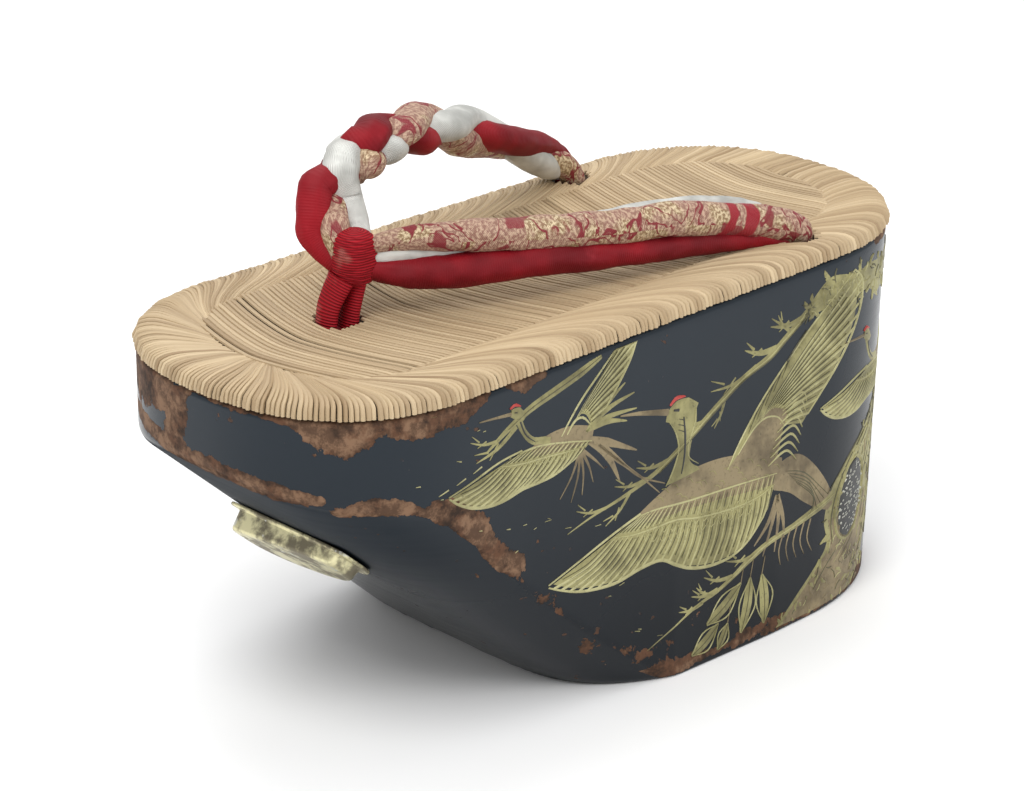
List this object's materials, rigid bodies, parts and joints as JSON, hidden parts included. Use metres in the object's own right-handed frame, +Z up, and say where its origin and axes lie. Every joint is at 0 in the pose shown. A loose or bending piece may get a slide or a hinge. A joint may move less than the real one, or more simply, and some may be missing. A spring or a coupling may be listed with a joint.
{
  "type": "okobo platform sandal",
  "caption": "Tall lacquered platform sandal with a hollow block, a sloped toe, a woven footbed and a V strap with one plaited arm.",
  "frame": {"origin": "on the floor, under the middle of the length and width", "axes": "-Y to the toe, +Y to the heel, +X to the wearer's left (outer side), +Z up"},
  "size_m": [0.1106, 0.23, 0.1481],
  "materials": {
    "lacquered_wood": "glossy blue-black lacquer with gold and bronze cranes and pine, worn to brown ground along the edges",
    "woven_sheath": "woven bamboo-sheath strands, pale straw, dry satin",
    "strap_silk": "three padded cords: plain red silk, silver-white weave and gold-pink brocade",
    "red_silk": "ribbed red silk band",
    "gilt_metal": "worn pale gilt over tarnished brass"
  },
  "bodies": {
    "root": {"block": "lacquered_wood", "footbed": "woven_sheath", "strap": "strap_silk", "toe_thong": "red_silk", "toe_knot_cover": "gilt_metal"}
  },
  "joints": []
}
